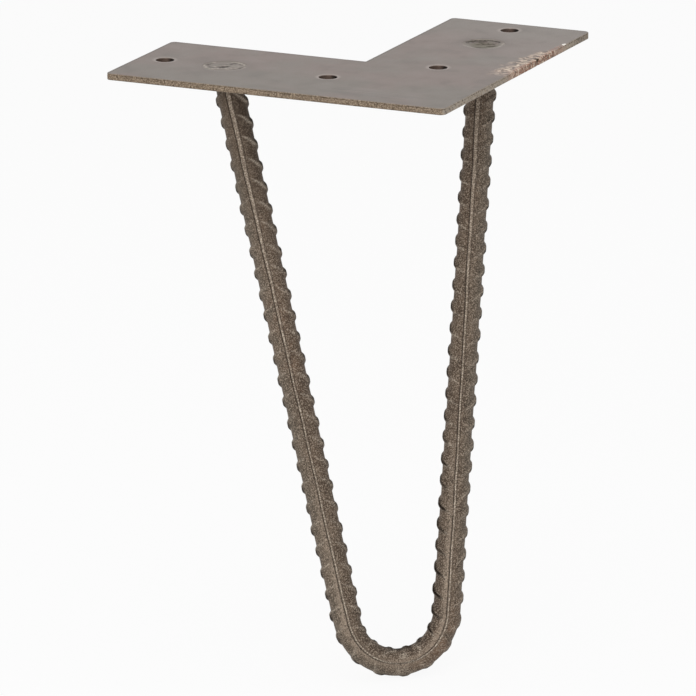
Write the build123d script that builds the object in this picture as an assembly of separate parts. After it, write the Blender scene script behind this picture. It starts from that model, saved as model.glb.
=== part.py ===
from build123d import *
import os
from math import asin, atan2, cos, degrees, hypot, radians, sin, sqrt, tan

# Hairpin table leg: a ribbed bar bent into a V and plug-welded to an L-shaped screw plate.
# Frame: origin on the plate's top face where the two arm centre lines cross, +Z up,
# -Y towards the plate's outer corner. The arms run back at 45 degrees on either side of +Y.

# Mounting plate
arm_length = 120.0          # outer corner to the end of an arm
arm_width = 50.0
plate_thickness = 2.2
corner_radius = 1.2         # plan radius of the five outer corners
edge_easing = 0.25          # bevel along the cut edges

# Screw holes on the arm centre lines
screw_hole_diameter = 6.0
inner_hole_lead = 2.0       # inner hole past the plate's inner corner, towards the arm's end
outer_hole_inset = 9.5      # outer hole in from the arm's end

# Hairpin centre line
bar_inset = 31.0            # arm's end to where the bar's axis meets the top face
leg_height = 200.0          # top face down to the underside of the bar's core
foot_setback = 2.6          # foot behind the crossing of the arm centre lines
bend_radius = 17.7          # centre line of the bend

# Ribbed bar
core_diameter = 9.0
seam_width = 1.5            # foot of the long rib on the front and on the back of the bar
seam_crest = 0.8
seam_height = 0.45
seam_turn = 21.0            # turn of the front seam outwards on the left leg, inwards on the right
rib_pitch = 7.26
rib_height = 0.7
rib_foot = 3.2              # width of a crescent rib across its foot
rib_crest = 1.4
rib_slant = 32.0            # lean of a rib from square across the bar
rib_shoulder = 25.0         # half of the angle over which a rib keeps its full height
rib_reach = 76.0            # half of the angle between its two ends
rib_dip = 0.1               # depth of its ends under the core's surface
rib_root = 0.5              # depth of its root inside the core
outer_row_phase = 0.8       # first outer rib past the lowest point of the bend
inner_row_phase = 2.6

# Plug welds
weld_hole_diameter = 13.2
bar_end_depth = 1.4         # end of the bar below the top face
left_dish_width = 10.0
left_dish_depth = 0.15
right_dish_width = 12.4
right_dish_depth = 1.1

# Stations along an arm's centre line, from the plate's outer edge
inner_hole_station = arm_width + inner_hole_lead
outer_hole_station = arm_length - outer_hole_inset
bar_station = arm_length - bar_inset

core_radius = core_diameter / 2
end_spare = core_diameter   # bar beyond the top face before its ends are cut level

# Centre line of the hairpin, worked out in the leaning plane of its two legs:
# u runs across to the right, v down the plane from the level of the top face.
top_half = (bar_station - arm_width / 2) / sqrt(2)
top_middle = Vector(0, top_half, 0)
foot_middle = Vector(0, foot_setback, -(leg_height - core_radius))
plane_depth = (foot_middle - top_middle).length
across = Vector(1, 0, 0)
down = (foot_middle - top_middle).normalized()
front = down.cross(across)
bend_centre_v = plane_depth - bend_radius
leg_tilt = degrees(atan2(top_half, bend_centre_v) - asin(bend_radius / hypot(top_half, bend_centre_v)))
leg_length = sqrt(top_half**2 + bend_centre_v**2 - bend_radius**2)
bend_sweep = 180 - 2 * leg_tilt
bend_length = bend_radius * radians(bend_sweep)
bar_length = 2 * leg_length + bend_length
lowest_station = bar_length / 2


def in_plane(u, v):
    """Point of the leaning plane in the part's frame."""
    return top_middle + across * u + down * v


def centre_line(station):
    """Point and direction of the bar's axis, at a length along it from the left end."""
    if station < leg_length:
        heading = leg_tilt
        u = -top_half + station * sin(radians(heading))
        v = station * cos(radians(heading))
    elif station > leg_length + bend_length:
        heading = 180 - leg_tilt
        left_over = bar_length - station
        u = top_half - left_over * sin(radians(heading))
        v = -left_over * cos(radians(heading))
    else:
        heading = leg_tilt + degrees((station - leg_length) / bend_radius)
        u = -bend_radius * cos(radians(heading))
        v = bend_centre_v + bend_radius * sin(radians(heading))
    direction = across * sin(radians(heading)) + down * cos(radians(heading))
    return in_plane(u, v), direction


def section_turn(station):
    """Turn of the bar's section towards the outside of the hairpin, in degrees."""
    share = (lowest_station - station) / (bend_length / 2)
    return seam_turn * max(-1, min(1, share))


def bar_frame(station):
    """Point, direction, front seam direction and outer row direction of the bar's section."""
    point, direction = centre_line(station)
    outward = direction.cross(front)
    turn = radians(section_turn(station))
    seam_way = front * cos(turn) + outward * sin(turn)
    return point, direction, seam_way, direction.cross(seam_way)


def make_core():
    """Round core: two straight legs and the bend between them."""
    section = Circle(core_radius)
    left_top, leg_way = centre_line(-end_spare)
    bend_start, _ = centre_line(leg_length)
    left_leg = extrude(Plane(left_top, x_dir=front, z_dir=leg_way) * section, leg_length + end_spare)
    bend_axis = Axis(in_plane(0, bend_centre_v), front)
    bend = revolve(Plane(bend_start, x_dir=front, z_dir=leg_way) * section, bend_axis, bend_sweep)
    return left_leg + bend + mirror(left_leg, Plane.YZ)


def make_seam(side):
    """Long low rib that follows the turned section; side is 1 at the front and -1 at the back."""
    half_foot = seam_width / 2
    half_crest = seam_crest / 2
    foot = sqrt(core_radius**2 - half_foot**2)
    crest = core_radius + seam_height
    root = foot - seam_height
    outline = Polyline((root, -half_foot), (foot, -half_foot), (crest, -half_crest),
                       (crest, half_crest), (foot, half_foot), (root, half_foot), close=True)
    section = make_face(outline)
    bend_steps = 8
    stops = [leg_length + bend_length * step / bend_steps for step in range(bend_steps + 1)]
    faces = []
    for station in [-end_spare] + stops:
        point, direction, seam_way, _ = bar_frame(station)
        faces.append(Plane(point, x_dir=seam_way * side, z_dir=direction) * section)
    run = leg_length + end_spare
    return [extrude(faces[0], run), loft(faces[1:]), extrude(faces[-1], run)]


def make_rib(station, side):
    """Crescent rib winding across one side of the bar; side is 1 in the outer row, -1 in the inner."""
    slant = radians(rib_slant)
    flank = (rib_foot - rib_crest) / 2 / rib_height
    depth = rib_height + rib_root
    sections = []
    for angle, lift in ((-rib_reach, -rib_dip), (-rib_shoulder, rib_height),
                        (rib_shoulder, rib_height), (rib_reach, -rib_dip)):
        swing = radians(angle)
        point, direction, seam_way, row_way = bar_frame(station - core_radius * swing * tan(slant))
        outward = row_way * side * cos(swing) + seam_way * sin(swing)
        onward = seam_way * cos(swing) - row_way * side * sin(swing)
        crest = core_radius + lift
        half_crest = rib_crest / 2
        half_root = half_crest + flank * depth
        profile = Polyline((crest - depth, -half_root), (crest, -half_crest),
                           (crest, half_crest), (crest - depth, half_root), close=True)
        run = onward * cos(slant) - direction * sin(slant)
        sections.append(Plane(point, x_dir=outward, z_dir=run) * make_face(profile))
    return loft(sections)


def rib_stations(phase):
    """Stations of one row of ribs, as far along both legs as they clear the plate's under face."""
    cover = plate_thickness * leg_length / abs(centre_line(leg_length)[0].Z)
    slant = radians(rib_slant)
    lean_half = core_radius * radians(rib_reach) * tan(slant) + rib_foot / 2 / cos(slant)
    first_free = cover + lean_half
    last_free = bar_length - first_free
    stations = []
    station = lowest_station + phase
    station -= rib_pitch * ((station - first_free) // rib_pitch)
    while station < last_free:
        stations.append(station)
        station += rib_pitch
    return stations


def cut_level(solid):
    """Cut the bar's ends level, bar_end_depth below the top face."""
    return split(solid, Plane((0, 0, -bar_end_depth)), keep=Keep.BOTTOM)


def make_ribs():
    """Both rows of crescent ribs."""
    outer_row = [make_rib(station, 1) for station in rib_stations(outer_row_phase)]
    inner_row = [make_rib(station, -1) for station in rib_stations(inner_row_phase)]
    return outer_row + inner_row


def on_arms(station):
    """Points on both arm centre lines, at a distance from the plate's outer edge."""
    reach = station - arm_width / 2
    return Locations((reach, 0), (0, reach))


def make_plate():
    """L-shaped plate with eased edges, screw holes and weld holes."""
    inner = arm_width / 2
    far = arm_length - arm_width / 2
    outline = Polyline((-inner, -inner), (far, -inner), (far, inner), (inner, inner),
                       (inner, far), (-inner, far), close=True)
    sheet = make_face(outline)
    inner_corner = sheet.vertices().sort_by_distance((inner, inner))[0]
    outer_corners = [corner for corner in sheet.vertices() if corner != inner_corner]
    sheet = fillet(outer_corners, corner_radius)
    plate = extrude(sheet, -plate_thickness)
    rims = plate.faces().sort_by(Axis.Z)[0].edges() + plate.faces().sort_by(Axis.Z)[-1].edges()
    plate = chamfer(rims, edge_easing)
    for station, diameter in ((inner_hole_station, screw_hole_diameter),
                              (outer_hole_station, screw_hole_diameter),
                              (bar_station, weld_hole_diameter)):
        hole = Cylinder(diameter / 2, 3 * plate_thickness)
        plate -= [place * hole for place in on_arms(station)]
    return Rot(0, 0, 45) * plate


def make_weld(side, dish_width, dish_depth, bar):
    """Weld metal in one weld hole, round the bar's end, dished on top; side is -1 left and 1 right."""
    centre = Pos(side * top_half, top_half, 0)
    plug = Cylinder(weld_hole_diameter / 2, plate_thickness, align=(Align.CENTER, Align.CENTER, Align.MAX))
    dish_radius = (dish_width**2 / 4 + dish_depth**2) / (2 * dish_depth)
    dish = Pos(0, 0, dish_radius - dish_depth) * Sphere(dish_radius)
    return centre * (plug - dish) - bar


os.makedirs("parts", exist_ok=True)
plain_bar = make_core() + make_seam(1) + make_seam(-1)
level_bar = cut_level(plain_bar)
nodes = {
    "mounting_plate": make_plate(),
    "hairpin_bar": cut_level(plain_bar + make_ribs()),
    "left_plug_weld": make_weld(-1, left_dish_width, left_dish_depth, level_bar),
    "right_plug_weld": make_weld(1, right_dish_width, right_dish_depth, level_bar),
}
for name, solid in nodes.items():
    solid.label = name
    export_step(solid, f"parts/{name}.step")
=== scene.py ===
"""Hairpin table leg: a ribbed steel bar bent into a V and plug-welded to an L-shaped screw plate."""

import logging
from dataclasses import dataclass, field
from enum import Enum
from functools import cached_property
from math import asin, atan2, cos, hypot, pi, radians, sin, sqrt, tan

import bpy
import numpy as np
from mathutils import Matrix, Vector
from mathutils.geometry import delaunay_2d_cdt


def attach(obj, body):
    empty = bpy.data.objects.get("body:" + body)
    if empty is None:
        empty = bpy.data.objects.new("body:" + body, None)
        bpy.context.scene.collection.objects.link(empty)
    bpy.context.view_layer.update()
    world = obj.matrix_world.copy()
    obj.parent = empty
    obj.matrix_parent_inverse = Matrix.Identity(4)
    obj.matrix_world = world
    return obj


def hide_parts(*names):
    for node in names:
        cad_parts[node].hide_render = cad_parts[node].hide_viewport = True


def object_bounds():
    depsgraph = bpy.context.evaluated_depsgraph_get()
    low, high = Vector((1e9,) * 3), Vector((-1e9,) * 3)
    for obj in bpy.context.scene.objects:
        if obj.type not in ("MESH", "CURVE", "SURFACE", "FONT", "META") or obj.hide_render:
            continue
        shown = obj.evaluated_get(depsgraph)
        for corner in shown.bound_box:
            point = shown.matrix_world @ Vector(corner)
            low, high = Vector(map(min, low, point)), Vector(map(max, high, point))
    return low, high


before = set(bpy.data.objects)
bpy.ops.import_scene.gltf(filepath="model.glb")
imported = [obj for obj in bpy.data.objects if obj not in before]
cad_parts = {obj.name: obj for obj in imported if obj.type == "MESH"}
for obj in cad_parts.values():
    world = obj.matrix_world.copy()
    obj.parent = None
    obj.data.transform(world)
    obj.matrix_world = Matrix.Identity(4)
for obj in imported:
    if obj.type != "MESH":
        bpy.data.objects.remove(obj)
cad_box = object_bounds()

MM = 0.001
PLATE_THICKNESS = 2.2 * MM
HALF_ARM = 25.0 * MM
NICK_STATION = 51.0 * MM
WHITE = (1.0, 1.0, 1.0)
LOG = logging.getLogger("hairpin_leg")

Colour = tuple[float, float, float]
Place = tuple[float, float, float]
Span = tuple[float, float]  # where a change starts and where it is complete
Band = tuple[float, float]  # middle and reach of a soft band
Pair = tuple[float, float]
Steps = tuple[Pair, ...]
Loop = np.ndarray


def tone(red: int, green: int, blue: int) -> Colour:
    """Linear colour of a tone read off a screen.

    Args:
        red: Red level, 0 to 255.
        green: Green level, 0 to 255.
        blue: Blue level, 0 to 255.

    Returns:
        The three linear levels, 0 to 1.
    """
    levels = (level / 255 for level in (red, green, blue))
    return tuple(v / 12.92 if v <= 0.04045 else ((v + 0.055) / 1.055) ** 2.4 for v in levels)


def smooth_step(value: np.ndarray, low: float, high: float) -> np.ndarray:
    """Smooth rise from 0 at low to 1 at high.

    Args:
        value: Values to map.
        low: Value that maps to 0; it may be the greater one.
        high: Value that maps to 1.

    Returns:
        Values from 0 to 1, level at both ends.
    """
    share = np.clip((value - low) / (high - low), 0, 1)
    return share * share * (3 - 2 * share)


def bell(value: np.ndarray, width: float) -> np.ndarray:
    """Bell curve round 0, 1 high, that is down to a third at one width from the middle."""
    return np.exp(-((value / width) ** 2))


def spread_round(count: int) -> tuple[np.ndarray, np.ndarray]:
    """Angles spread evenly round a circle of radius 1, and the points at those angles."""
    swing = np.linspace(0, 2 * pi, count, endpoint=False)
    return swing, np.stack([np.cos(swing), np.sin(swing)], axis=1)


class Wire:
    """Output socket of a shader graph that takes part in Python arithmetic."""

    def __init__(self, graph: "ShaderGraph", socket: bpy.types.NodeSocket) -> None:
        """Keep the graph and the socket."""
        self.graph = graph
        self.socket = socket

    def __add__(self, other: "Wire | float") -> "Wire":
        """Sum of two values."""
        return self.graph.math("ADD", self, other)

    def __radd__(self, other: float) -> "Wire":
        """Sum with the number first."""
        return self.graph.math("ADD", other, self)

    def __sub__(self, other: "Wire | float") -> "Wire":
        """Difference of two values."""
        return self.graph.math("SUBTRACT", self, other)

    def __rsub__(self, other: float) -> "Wire":
        """Difference with the number first."""
        return self.graph.math("SUBTRACT", other, self)

    def __mul__(self, other: "Wire | float") -> "Wire":
        """Product of two values."""
        return self.graph.math("MULTIPLY", self, other)

    def __rmul__(self, other: float) -> "Wire":
        """Product with the number first."""
        return self.graph.math("MULTIPLY", other, self)

    def __abs__(self) -> "Wire":
        """Value without its sign."""
        return self.graph.math("ABSOLUTE", self)


class ShaderGraph:
    """Node tree of one material or of the world."""

    def __init__(self, tree: bpy.types.NodeTree) -> None:
        """Start from an empty tree."""
        tree.nodes.clear()
        self.tree = tree

    def node(self, kind: str, settings: dict | None = None, sockets: dict | None = None) -> bpy.types.Node:
        """Add one node.

        Args:
            kind: Blender's name of the node's type.
            settings: Properties of the node.
            sockets: Values or wires of its inputs, by identifier, name or number.

        Returns:
            The new node.
        """
        made = self.tree.nodes.new(kind)
        for name, value in (settings or {}).items():
            setattr(made, name, value)
        for key, value in (sockets or {}).items():
            socket = self.find(made.inputs, key)
            if isinstance(value, Wire):
                self.tree.links.new(value.socket, socket)
            elif socket.type == "RGBA":
                socket.default_value = (*value, 1.0)
            else:
                socket.default_value = value
        return made

    @staticmethod
    def find(sockets: bpy.types.bpy_prop_collection, key: str | int) -> bpy.types.NodeSocket:
        """Socket with an identifier, a name or a number.

        Args:
            sockets: Inputs or outputs of a node.
            key: What to look for.

        Returns:
            The socket.
        """
        if isinstance(key, int):
            return sockets[key]
        for socket in sockets:
            if socket.identifier == key:
                return socket
        return sockets[key]

    def wire(self, made: bpy.types.Node, key: str | int = 0) -> Wire:
        """Output of a node as a wire."""
        return Wire(self, self.find(made.outputs, key))

    def math(self, operation: str, *values: "Wire | float") -> Wire:
        """Math node on one or two values."""
        return self.wire(self.node("ShaderNodeMath", {"operation": operation}, dict(enumerate(values))))

    def at_least(self, value: Wire, limit: Wire) -> Wire:
        """Greater of two values."""
        return self.math("MAXIMUM", value, limit)

    def rise(self, value: Wire, low: float, high: float) -> Wire:
        """Smooth step of a value.

        Args:
            value: Value to map.
            low: Value that maps to 0; it may be the greater one.
            high: Value that maps to 1.

        Returns:
            Values from 0 to 1.
        """
        made = self.node("ShaderNodeMapRange", {"interpolation_type": "SMOOTHSTEP"},
                         {"Value": value, "From Min": low, "From Max": high})
        return self.wire(made, "Result")

    def near(self, value: Wire, middle: float, reach: float) -> Wire:
        """Soft band: 1 at the middle, 0 from a reach away."""
        return self.rise(abs(value - middle), reach, 0.0)

    def place(self) -> Wire:
        """Coordinates of the piece in metres."""
        return self.wire(self.node("ShaderNodeTexCoord"), "Object")

    def stretch(self, where: Wire, sizes: Place, turn: float) -> Wire:
        """Coordinates scaled along each axis after a turn about the vertical.

        Args:
            where: Coordinates.
            sizes: Scale on each axis.
            turn: Turn in degrees.

        Returns:
            The new coordinates.
        """
        turned = self.node("ShaderNodeMapping", {"vector_type": "POINT"},
                           {"Vector": where, "Rotation": (0.0, 0.0, radians(turn))})
        scaled = self.node("ShaderNodeVectorMath", {"operation": "MULTIPLY"},
                           {0: self.wire(turned), 1: sizes})
        return self.wire(scaled)

    def noise(self, where: Wire, grain: float, detail: float, distortion: float = 0.0) -> Wire:
        """Cloudy noise.

        Args:
            where: Coordinates.
            grain: Size of one cloud in metres.
            detail: Finer layers on top.
            distortion: Swirl of the clouds.

        Returns:
            Values round 0.5.
        """
        made = self.node("ShaderNodeTexNoise", {"noise_dimensions": "3D"}, {
            "Vector": where, "Scale": 1 / grain, "Detail": detail, "Distortion": distortion})
        return self.wire(made, "Fac")

    def marks(self, *names: str) -> list[Wire]:
        """Values that the mesh carries at its points, by name."""
        return [self.wire(self.node("ShaderNodeAttribute", {
            "attribute_name": name, "attribute_type": "GEOMETRY"}), "Fac") for name in names]

    def coats(self, base: "Wire | Colour", *layers: "tuple[Wire | float, Wire | Colour]") -> Wire:
        """Colours laid over a base, one after another.

        Args:
            base: Lowest colour.
            layers: Share that shows and colour of each coat, from the lowest up.

        Returns:
            The mixed colour.
        """
        for share, colour in layers:
            made = self.node("ShaderNodeMix", {"data_type": "RGBA"},
                             {"Factor_Float": share, "A_Color": base, "B_Color": colour})
            base = self.wire(made, "Result_Color")
        return base

    def bump(self, height: Wire, depth: float, strength: float) -> Wire:
        """Normal of a fine relief.

        Args:
            height: Relief in shares of its depth.
            depth: Height in metres that 1 stands for.
            strength: Share of the relief that shows.

        Returns:
            The bent normal.
        """
        made = self.node("ShaderNodeBump", {}, {"Strength": strength, "Distance": depth, "Height": height})
        return self.wire(made, "Normal")

    def matt(self, colour: Colour) -> bpy.types.Node:
        """Shader of a surface without gloss."""
        return self.node("ShaderNodeBsdfDiffuse", {}, {"Color": colour})

    def blend(self, share: Wire, one: bpy.types.Node, other: bpy.types.Node) -> bpy.types.Node:
        """Shader between two others; the share is how much of the second shows."""
        return self.node("ShaderNodeMixShader", {}, {0: share, 1: self.wire(one), 2: self.wire(other)})

    def finish(self, surface: bpy.types.Node, kind: str = "ShaderNodeOutputMaterial") -> None:
        """Lead a shader to the tree's output."""
        self.node(kind, {}, {"Surface": self.wire(surface)})


def new_graph(name: str) -> tuple[bpy.types.Material, ShaderGraph]:
    """Empty material and its graph.

    Args:
        name: Name of the material.

    Returns:
        The material and its shader graph.
    """
    material = bpy.data.materials.new(name)
    material.use_nodes = True
    return material, ShaderGraph(material.node_tree)


@dataclass(frozen=True)
class Steel:
    """What the finishes of the leg's steel have in common."""

    name: str
    metallic: float
    specular: float
    relief_depth: float
    relief_share: float

    def bare(self, g: ShaderGraph, colour: Wire, rough: Wire, relief: Wire) -> bpy.types.Node:
        """Add the shader of the bare metal.

        Args:
            g: Graph of the material.
            colour: Colour of the metal.
            rough: Roughness of its surface.
            relief: Fine relief in shares of its depth.

        Returns:
            The shader.
        """
        return g.node("ShaderNodeBsdfPrincipled", {}, {
            "Base Color": colour, "Roughness": rough, "Metallic": self.metallic,
            "Specular IOR Level": self.specular,
            "Normal": g.bump(relief, self.relief_depth, self.relief_share)})


@dataclass(frozen=True)
class RolledBarSteel(Steel):
    """Brown mill scale of a hot-rolled ribbed bar, sandy on the grain and worn pale on its seams, with
    painted shade and highlights.
    """

    name: str = "rolled_bar_steel"
    metallic: float = 0.25
    specular: float = 0.25
    relief_depth: float = 0.07 * MM
    relief_share: float = 0.8
    mottle_size: float = 5.0 * MM
    patch_size: float = 26.0 * MM
    grain_size: float = 0.42 * MM
    pit_size: float = 0.5 * MM
    bend_place: Band = (0.515, 0.12)
    warm_place: Band = (0.535, 0.06)
    scale_dark_and_shade: Colour = tone(80, 66, 54)
    scale_mid: Colour = tone(106, 91, 77)
    scale_cool: Colour = tone(100, 92, 81)
    scale_rust: Colour = tone(112, 84, 64)
    grain_light: Colour = tone(164, 148, 131)
    grain_dark: Colour = tone(46, 38, 31)
    seam_light: Colour = tone(198, 185, 168)
    pale_band: Colour = tone(146, 131, 115)
    groove_shade: Colour = tone(38, 31, 26)
    rib_sheen_grey: Colour = tone(126, 118, 108)
    shade_tone: Colour = tone(24, 19, 15)
    inner_shade_tone: Colour = tone(56, 46, 38)

    def material(self) -> bpy.types.Material:
        """Build the bar's material.

        Returns:
            The material.
        """
        made, g = new_graph(self.name)
        where = g.place()
        mottle = g.noise(where, self.mottle_size, 4.0, 0.4)
        patch = g.noise(where, self.patch_size, 3.0, 0.6)
        grain = g.noise(where, self.grain_size, 1.5)
        pits = g.noise(where, self.pit_size, 1.5, 0.2)
        seam, groove, sheen = g.marks("seam", "groove", "sheen")
        rib, crest, shade = g.marks("rib", "rib_crest", "rib_shade")
        station, outer = g.marks("station", "outer")
        # A station of 0 is the top of the left leg, 0.5 the foot and 1 the top of the right leg.
        inner = g.rise(outer, 0.1, -1.0)
        bend = g.near(station, *self.bend_place)
        low = g.rise(abs(station - 0.5), 0.46, 0.22)
        # Painted shadow of the plate over the top of the left leg, deepest on its inner side.
        plate_shadow = g.rise(station, 0.1, 0.02)
        inner_plate_shadow = g.rise(station, 0.13, 0.03)
        left_top = g.rise(station, 0.2, 0.05)
        coarse = 1.0 - left_top * 0.5
        warm = g.near(station, *self.warm_place) * 0.6 + g.rise(patch, 0.5, 0.7) * 0.4
        glint = g.rise(grain, 0.36, 0.56) * (0.6 - left_top * 0.3) + left_top * inner * 0.6
        colour = g.coats(
            self.scale_dark_and_shade,
            (g.rise(mottle, 0.3, 0.68), self.scale_mid),
            (g.rise(0.5 * outer + patch, 0.45, 1.0) * 0.7, self.scale_cool),
            (warm * g.rise(mottle, 0.25, 0.7), self.scale_rust),
            # Painted shadow of the plate on the top of the left leg, darkest on its inner side.
            (plate_shadow * (0.5 + inner * 0.4), self.scale_dark_and_shade),
            (inner_plate_shadow * inner * 0.85, self.inner_shade_tone),
            # Painted shade on the inner sides of the legs, where they face each other.
            (inner * 0.45, self.scale_dark_and_shade),
            # Painted shade on the inner side of the bend.
            (bend * inner * (0.3 + mottle * 0.7), self.inner_shade_tone),
            # Painted sheen: a soft pale band beside the seam on the side where the light falls.
            (sheen * (0.2 + mottle * 0.8), self.pale_band),
            # Painted reflection: the ribs a lighter, cooler grey.
            (rib * (0.1 + mottle * 0.5), self.rib_sheen_grey),
            (g.rise(pits, 0.47, 0.37) * coarse * 0.7, self.grain_dark),
            (g.rise(grain, 0.51, 0.61) * coarse * 0.72, self.grain_light),
            # Painted shade in the fine grooves beside the seams.
            (groove * g.rise(mottle, 0.2, 0.45) * 0.8, self.groove_shade),
            (seam * (0.35 + low * 0.15), self.pale_band),
            (seam * g.rise(grain, 0.49, 0.6) * (0.5 + low * 0.35), self.seam_light),
            # Painted highlight along each rib's crest line.
            (crest * glint, self.seam_light))
        rough = 0.66 + (grain - 0.5) * 0.3 - seam * 0.12 - rib * 0.05 - sheen * 0.12
        steel = self.bare(g, colour, rough, grain * 0.6 + pits * 0.6 + mottle * 0.5)
        # Painted shade on each rib's flank that faces away from the light and in the grooves, laid as a dark
        # matt shader.
        dark = shade * (0.5 + g.rise(mottle, 0.3, 0.55) * 0.35) + groove * g.rise(mottle, 0.3, 0.5) * 0.5
        g.finish(g.blend(dark, steel, g.matt(self.shade_tone)))
        return made


@dataclass(frozen=True)
class SheetSteel(Steel):
    """Grey hot-rolled sheet with brown sheared edges and one worn stretch of its right edge."""

    name: str = "sheet_steel"
    metallic: float = 0.6
    specular: float = 0.4
    relief_depth: float = 0.05 * MM
    relief_share: float = 0.6
    rolling_turn: float = 45.0
    cloud_size: float = 34.0 * MM
    mottle_size: float = 9.0 * MM
    grain_size: float = 0.4 * MM
    speck_size: float = 0.7 * MM
    streak_size: float = 1.1 * MM
    scratch_size: float = 0.9 * MM
    flake_size: float = 1.3 * MM
    chip_along: Band = (74.0 * MM, 1.8 * MM)
    chip_across: Band = (-24.6 * MM, 1.3 * MM)
    chip_jitter: float = 3.0 * MM
    nick_along: Band = (NICK_STATION, 1.7 * MM)
    nick_down: Band = (-0.3 * MM, 1.5 * MM)
    nick_across: Span = (-23.5 * MM, -24.0 * MM)
    right_cut: Span = (-24.0 * MM, -24.6 * MM)
    drag_places: tuple[Band, Band] = ((-13.0 * MM, 7.0 * MM), (8.0 * MM, 30.0 * MM))
    smear_places: tuple[Band, Band] = ((-17.0 * MM, 7.0 * MM), (4.0 * MM, 34.0 * MM))
    lightens: Span = (20.0 * MM, 110.0 * MM)
    cut_dulls: Span = (77.0 * MM, 86.0 * MM)
    shear_level: Band = (-0.42 * MM, 0.26 * MM)
    shear_jitter: float = 0.5 * MM
    foot_darkens: Span = (-1.7 * MM, -2.1 * MM)
    worn_starts: Span = (22.0 * MM, 34.0 * MM)
    worn_ends: Span = (77.0 * MM, 66.0 * MM)
    worn_narrows: Span = (40.0 * MM, 74.0 * MM)
    worn_narrowing: float = 5.0 * MM
    worn_reach: Span = (7.5 * MM, 4.0 * MM)
    worn_jitter: float = 14.0 * MM
    rust_across: Band = (-24.6 * MM, 1.5 * MM)
    rust_jitter: float = 3.0 * MM
    face_grey: Colour = tone(120, 109, 102)
    face_cool: Colour = tone(115, 110, 102)
    face_warm: Colour = tone(127, 110, 104)
    face_light: Colour = tone(134, 125, 119)
    cut_brown: Colour = tone(126, 110, 92)
    cut_grey: Colour = tone(160, 151, 139)
    cut_dark: Colour = tone(76, 63, 50)
    cut_light: Colour = tone(176, 159, 139)
    lip_light: Colour = tone(160, 150, 139)
    lip_dark: Colour = tone(84, 76, 69)
    worn_cream: Colour = tone(216, 202, 184)
    worn_pink: Colour = tone(182, 150, 134)
    worn_rust: Colour = tone(140, 90, 70)
    chip_white: Colour = tone(240, 236, 228)
    streak_dark: Colour = tone(100, 96, 93)
    bore_brown: Colour = tone(78, 62, 53)
    bore_shade: Colour = tone(22, 17, 14)
    halo_light: Colour = tone(178, 167, 160)
    heat_grey: Colour = tone(108, 99, 92)

    def material(self) -> bpy.types.Material:
        """Build the plate's material.

        Returns:
            The material.
        """
        made, g = new_graph(self.name)
        where = g.place()
        spot = g.node("ShaderNodeSeparateXYZ", {}, {"Vector": where})
        x, y, z = (g.wire(spot, axis) for axis in "XYZ")
        right_way = (x + y) * sqrt(0.5)
        left_way = (y - x) * sqrt(0.5)
        cut, lip, rear_lip, weld = g.marks("cut", "lip", "rear_lip", "weld_heat")
        bore, bore_end, halo = g.marks("bore", "bore_end", "halo")
        along, across, flaky = (g.stretch(where, sizes, self.rolling_turn) for sizes in (
            (1.0, 0.05, 1.0), (0.04, 1.0, 1.0), (0.6, 1.0, 1.0)))
        cloud = g.noise(where, self.cloud_size, 3.0, 0.5)
        mottle = g.noise(where, self.mottle_size, 4.0, 0.3)
        grain = g.noise(where, self.grain_size, 1.5)
        speck = g.noise(where, self.speck_size, 3.0)
        rolled = g.noise(along, self.streak_size, 3.0)
        scratch = g.noise(across, self.scratch_size, 2.0)
        flake = g.noise(flaky, self.flake_size, 4.0, 0.4)

        drag, smear = (g.near(right_way, *on_right_way) * g.near(left_way, *on_left_way)
                       for on_right_way, on_left_way in (self.drag_places, self.smear_places))
        face = g.coats(
            self.face_warm,
            (g.rise(cloud, 0.36, 0.62), self.face_cool),
            (0.5, self.face_grey),
            (g.rise(right_way - left_way, *self.lightens) * 0.55, self.face_light),
            (g.rise(mottle, 0.5, 0.72) * 0.25, self.streak_dark),
            (g.rise(rolled, 0.55, 0.75) * 0.16, self.face_light),
            (g.rise(grain, 0.56, 0.74) * 0.18, self.lip_light),
            (drag * g.rise(scratch, 0.5, 0.62) * 0.5, self.face_light),
            (smear * g.rise(scratch, 0.55, 0.4) * 0.55, self.streak_dark),
            (weld * 0.4, self.heat_grey),
            (halo * 0.45, self.halo_light))

        on_right = g.rise(left_way, *self.right_cut)
        shear_line = g.near(z + (mottle + speck - 1.0) * self.shear_jitter, *self.shear_level)
        foot_line = g.rise(z, *self.foot_darkens) * (1.0 - on_right)
        edge = g.coats(
            self.cut_brown,
            # The right edge is greyer and lighter: partly its own grey cut, partly painted light falling on
            # that side.
            (on_right, self.cut_grey),
            (g.rise(right_way, *self.cut_dulls) * 0.5, self.lip_dark),
            (g.rise(speck, 0.5, 0.38) * 0.75, self.cut_dark),
            (g.rise(grain, 0.5, 0.6) * 0.75, self.cut_light),
            ((shear_line * 0.7 + foot_line * 0.5) * g.rise(speck, 0.62, 0.45), self.cut_dark))

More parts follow.
